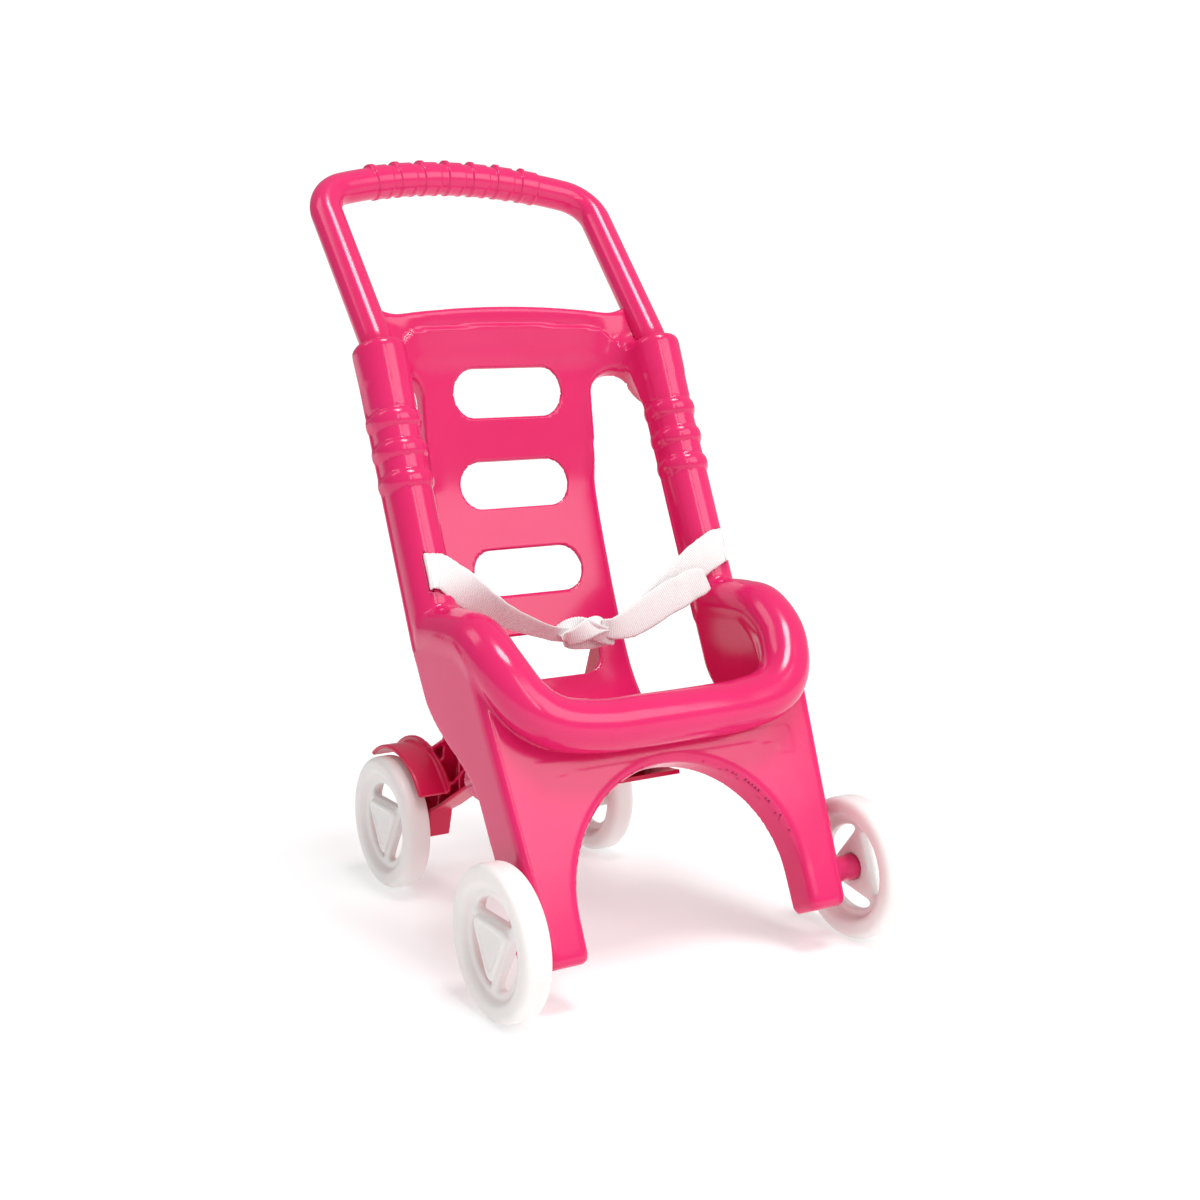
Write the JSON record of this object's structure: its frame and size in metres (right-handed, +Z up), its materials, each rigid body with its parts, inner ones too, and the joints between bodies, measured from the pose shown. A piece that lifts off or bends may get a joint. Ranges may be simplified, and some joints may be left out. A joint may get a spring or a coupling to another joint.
{
  "type": "doll stroller",
  "caption": "Toy stroller for a doll: open-backed moulded body with a ladder seat back, bumper bar, looped push handle, tied waist strap and freely rolling wheels.",
  "frame": {"origin": "on the floor, under the middle of the whole stroller's box", "axes": "+Z up; the stroller faces -Y, with its handle towards +Y; +X across, to the right as seen from the front-left view"},
  "size_m": [0.3, 0.3907, 0.5434],
  "materials": {
    "body_plastic": "glossy hot-pink moulded polypropylene",
    "rear_leg_plastic": "glossy, slightly deeper pink moulded polypropylene",
    "wheel_plastic": "milky, slightly translucent white moulded plastic",
    "webbing": "white woven polyester tape with a fine cross rib",
    "steel": "plain bright zinc-plated steel"
  },
  "bodies": {
    "frame": {"rail_left": "body_plastic", "rail_right": "body_plastic", "side_left": "body_plastic", "side_right": "body_plastic", "front_panel": "body_plastic", "arch_lip": "body_plastic", "bumper_bar": "body_plastic", "bumper_arm_left": "body_plastic", "bumper_arm_right": "body_plastic", "seat_pan": "body_plastic", "seat_back": "body_plastic", "header": "body_plastic", "handle": "body_plastic", "rear_leg_bracket": "rear_leg_plastic", "rear_arm_left": "rear_leg_plastic", "rear_arm_right": "rear_leg_plastic", "rear_leg_screws": "steel", "pin_front_left": "steel", "pin_front_right": "steel", "pin_rear_left": "steel", "pin_rear_right": "steel", "strap_left": "webbing", "strap_right": "webbing", "strap_knot": "webbing", "strap_stop_left": "wheel_plastic", "strap_stop_right": "wheel_plastic", "push_nut_front_left": "steel", "push_nut_front_right": "steel", "push_nut_rear_left": "steel", "push_nut_rear_right": "steel"},
    "wheel_front_left_body": {"wheel_front_left": "wheel_plastic", "hub_cap_front_left": "wheel_plastic"},
    "wheel_front_right_body": {"wheel_front_right": "wheel_plastic", "hub_cap_front_right": "wheel_plastic"},
    "wheel_rear_left_body": {"wheel_rear_left": "wheel_plastic", "hub_cap_rear_left": "wheel_plastic"},
    "wheel_rear_right_body": {"wheel_rear_right": "wheel_plastic", "hub_cap_rear_right": "wheel_plastic"}
  },
  "joints": [
    {"name": "front_left_wheel_spin", "type": "hinge", "parent": "frame", "child": "wheel_front_left_body", "pos_m": [-0.14, -0.1454, 0.05], "axis": [1, 0, 0], "continuous": true},
    {"name": "front_right_wheel_spin", "type": "hinge", "parent": "frame", "child": "wheel_front_right_body", "pos_m": [0.14, -0.1454, 0.05], "axis": [1, 0, 0], "continuous": true},
    {"name": "rear_left_wheel_spin", "type": "hinge", "parent": "frame", "child": "wheel_rear_left_body", "pos_m": [-0.089, 0.1216, 0.05], "axis": [1, 0, 0], "continuous": true},
    {"name": "rear_right_wheel_spin", "type": "hinge", "parent": "frame", "child": "wheel_rear_right_body", "pos_m": [0.089, 0.1216, 0.05], "axis": [1, 0, 0], "continuous": true}
  ]
}
